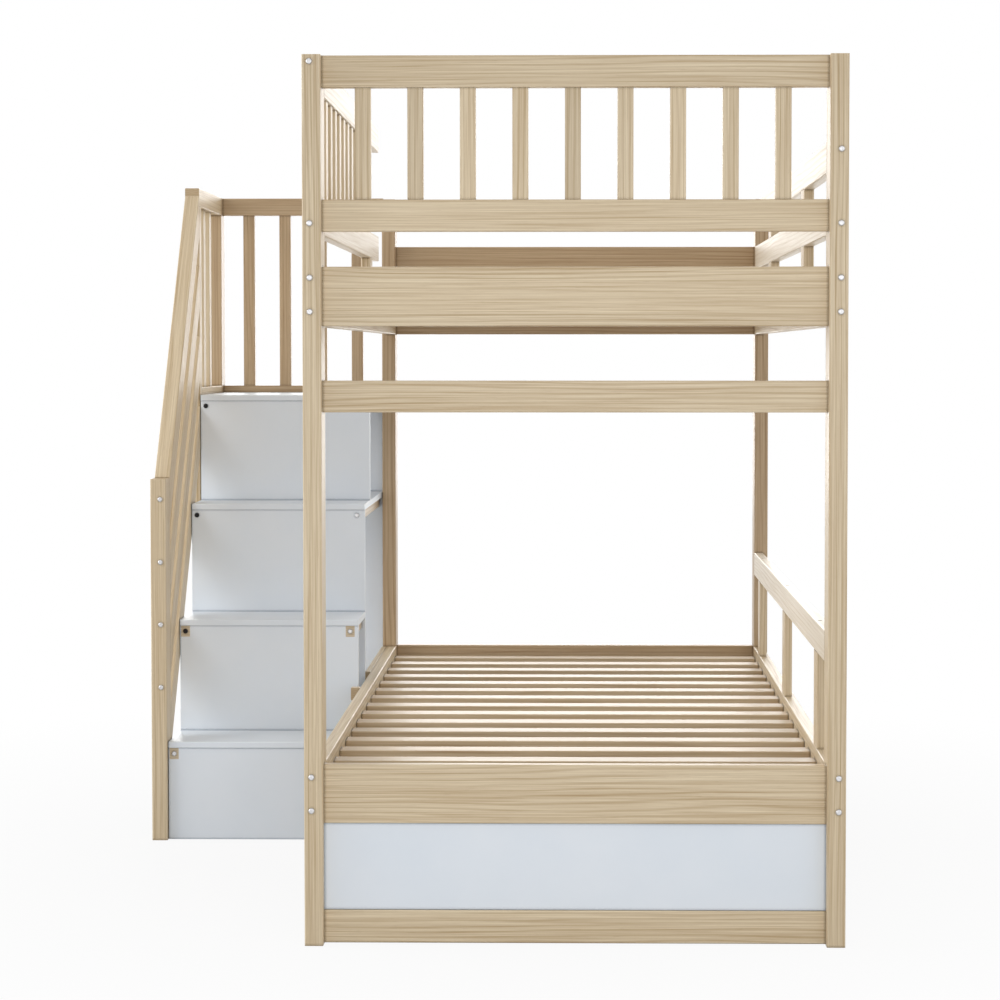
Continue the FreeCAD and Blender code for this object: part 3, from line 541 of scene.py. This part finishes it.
def grow(bm, face, seat, outward, rise, scale):
    """Extrude a face along the bolt and scale its new ring about the axis."""
    inside = any(len(edge.link_faces) > 1 for edge in face.edges)
    made = bmesh.ops.extrude_face_region(bm, geom=[face])["geom"]
    if inside and face.is_valid:
        # only the seat stays, so that no face is left inside the head
        bmesh.ops.delete(bm, geom=[face], context="FACES_ONLY")
    ring = [item for item in made if isinstance(item, bmesh.types.BMVert)]
    top = [item for item in made if isinstance(item, bmesh.types.BMFace)][0]
    bmesh.ops.translate(bm, vec=outward * rise, verts=ring)
    height = (ring[0].co - seat).dot(outward)
    centre = seat + outward * height
    bmesh.ops.scale(bm, vec=(scale, scale, scale), space=Matrix.Translation(-centre), verts=ring)
    return top


# each step of the head: how far it rises and how much narrower it gets, as shares
HEAD_STEPS = [(0.28, 1.0), (0.24, 0.93), (0.20, 0.90), (0.16, 0.86), (0.08, 0.84)]
SHANK_RADIUS = 0.0024
SOCKET_DEPTH = 0.0016
SOCKET_SHARE, SOCKET_TAPER = 0.56, 0.96
HEAD_HEIGHT = 0.0035
SCREW_HEAD_HEIGHT = 0.0025
# a turned head stays a hair inside the CAD head, across and outwards
ACROSS_FIT, OUTWARD_FIT = 0.985, 0.98


def turned_bolt(bm, seat, outward, radius, high, length):
    """Add one bolt: its seat point, the way its head looks, and its sizes."""
    turn = Vector((0, 0, 1)).rotation_difference(outward).to_matrix().to_4x4()
    spot = Matrix.Translation(seat) @ turn
    disc = bmesh.ops.create_circle(bm, cap_ends=True, segments=24, radius=radius, matrix=spot)
    top = disc["verts"][0].link_faces[0]
    for rise, scale in HEAD_STEPS:
        top = grow(bm, top, seat, outward, rise * high, scale)
    top = grow(bm, top, seat, outward, 0.0, SOCKET_SHARE)
    grow(bm, top, seat, outward, -SOCKET_DEPTH, SOCKET_TAPER)
    rod = bmesh.ops.create_circle(bm, cap_ends=True, segments=12, radius=SHANK_RADIUS,
                                  matrix=spot)
    grow(bm, rod["verts"][0].link_faces[0], seat, outward, -length, 1.0)


def turned_bolts(name, node_name, material, high):
    """Replace one CAD group of bolts by turned ones in the same places."""
    bm = bmesh.new()
    count = 0
    for island in islands(nodes[node_name].data):
        low = Vector([min(co[axis] for co in island) for axis in range(3)])
        top = Vector([max(co[axis] for co in island) for axis in range(3)])
        axis = max(range(3), key=lambda number: top[number] - low[number])
        middle = (low + top) / 2
        # the wider of the two ends is the head
        ends = []
        for end in (low[axis], top[axis]):
            near = [co for co in island if abs(co[axis] - end) < high * 1.2]
            side = (axis + 1) % 3
            ends.append((max(co[side] - middle[side] for co in near), end))
        radius, head_end = max(ends)
        outward = Vector((0, 0, 0))
        outward[axis] = 1.0 if head_end == top[axis] else -1.0
        seat = middle.copy()
        seat[axis] = head_end
        seat -= outward * high
        turned_bolt(bm, seat, outward, radius * ACROSS_FIT, high * OUTWARD_FIT,
                    (top - low)[axis] - high)
        count += 1
    bmesh.ops.recalc_face_normals(bm, faces=bm.faces)
    open_edges = sum(1 for edge in bm.edges if len(edge.link_faces) != 2)
    mesh = bpy.data.meshes.new(name)
    bm.to_mesh(mesh)
    bm.free()
    mesh.materials.append(material)
    piece = bpy.data.objects.new(name, mesh)
    scene.collection.objects.link(piece)
    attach(piece, "root")
    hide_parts(node_name)
    print(name, count, "bolts,", len(mesh.polygons), "faces, open edges", open_edges)


turned_bolts("turned_bed_bolts", "bed_bolts", zinc, HEAD_HEIGHT)
turned_bolts("turned_stair_bolts", "stair_bolts", zinc, HEAD_HEIGHT)
turned_bolts("turned_black_bolts", "stair_black_bolts", black_oxide,
             HEAD_HEIGHT)
turned_bolts("turned_guard_screws", "low_guard_screws", black_oxide,
             SCREW_HEAD_HEIGHT)

# %% [markdown]
# ## The studio
#
# The photograph has a white ground with no horizon. A disc of floor takes the bed's soft
# shadow near its feet and fades into the white of the world further out, so that no edge
# shows.

# %% Floor and backdrop
FLOOR_RADIUS = 14.0
bm = bmesh.new()
bmesh.ops.create_circle(bm, cap_ends=True, segments=64, radius=FLOOR_RADIUS)
floor_mesh = bpy.data.meshes.new("Floor")
bm.to_mesh(floor_mesh)
bm.free()
floor = bpy.data.objects.new("Floor", floor_mesh)
scene.collection.objects.link(floor)

floor_material = bpy.data.materials.new("Studio floor")
floor_material.use_nodes = True
tree = floor_material.node_tree
diffuse = tree.nodes["Principled BSDF"]
diffuse.inputs["Base Color"].default_value = (0.55, 0.55, 0.55, 1)
diffuse.inputs["Roughness"].default_value = 0.9
diffuse.inputs["Specular IOR Level"].default_value = 0.1
white = add_node(tree, "ShaderNodeEmission", {"Color": (1, 1, 1, 1), "Strength": 1.0})
spot = add_node(tree, "ShaderNodeTexCoord").outputs["Object"]
distance = add_node(tree, "ShaderNodeVectorMath", {0: spot},
                    operation="LENGTH").outputs["Value"]
FADE_START, FADE_END, NEAR_WHITE = 0.6, 2.4, 0.90
fade = remap(tree, distance, FADE_START, FADE_END, NEAR_WHITE, 1.0)
mixed = add_node(tree, "ShaderNodeMixShader",
                 {0: maths(tree, "MULTIPLY", fade, seen_directly(tree)),
                  1: diffuse.outputs[0], 2: white.outputs[0]})
tree.links.new(mixed.outputs[0], tree.nodes["Material Output"].inputs["Surface"])
floor_mesh.materials.append(floor_material)

world = bpy.data.worlds.new("Studio")
scene.world = world
world.use_nodes = True
tree = world.node_tree
ambient = tree.nodes["Background"]
ambient.inputs["Color"].default_value = (1, 1, 1, 1)
ambient.inputs["Strength"].default_value = 0.5
plain_white = add_node(tree, "ShaderNodeBackground", {"Color": (1, 1, 1, 1), "Strength": 1.0})
backdrop = add_node(tree, "ShaderNodeMixShader", {0: seen_directly(tree),
                                                  1: ambient.outputs[0],
                                                  2: plain_white.outputs[0]})
tree.links.new(backdrop.outputs[0], tree.nodes["World Output"].inputs["Surface"])
print("floor radius", FLOOR_RADIUS)

# %% [markdown]
# ## Lights
#
# A strong soft box stands at the left and another behind, so the faces of the boards that
# look sideways and back are the brightest, as in the photograph. Weaker ones at the right,
# near the camera and overhead fill the front.

# %% Soft boxes
def soft_box(name, place, aim, size, power):
    """A square area light that looks at a point."""
    data = bpy.data.lights.new(name, "AREA")
    data.shape = "SQUARE"
    data.size = size
    data.energy = power
    lamp = bpy.data.objects.new(name, data)
    lamp.location = place
    direction = Vector(aim) - Vector(place)
    lamp.rotation_euler = direction.to_track_quat("-Z", "Y").to_euler()
    scene.collection.objects.link(lamp)


BED_HEART = (0.0, 0.0, 0.9)
# name, place, size in metres, power in watts
BOXES = [("Left box", (-4.2, -0.6, 2.0), 3.4, 130),
         ("Right box", (4.4, -0.4, 2.0), 3.4, 30),
         ("Near box", (0.24, -3.4, 0.8), 2.4, 24),
         ("Right front box", (3.6, -3.6, 1.8), 2.4, 18),
         ("Top box", (0.2, 0.2, 4.6), 3.0, 15),
         ("Back box", (0.0, 5.2, 2.4), 4.0, 150)]
for box_name, box_place, box_size, box_power in BOXES:
    soft_box(box_name, box_place, BED_HEART, box_size, box_power)

# %% [markdown]
# ## Finish
#
# The scene's colours are shown through the Standard view.

# %% Colour view
scene.view_settings.view_transform = "Standard"
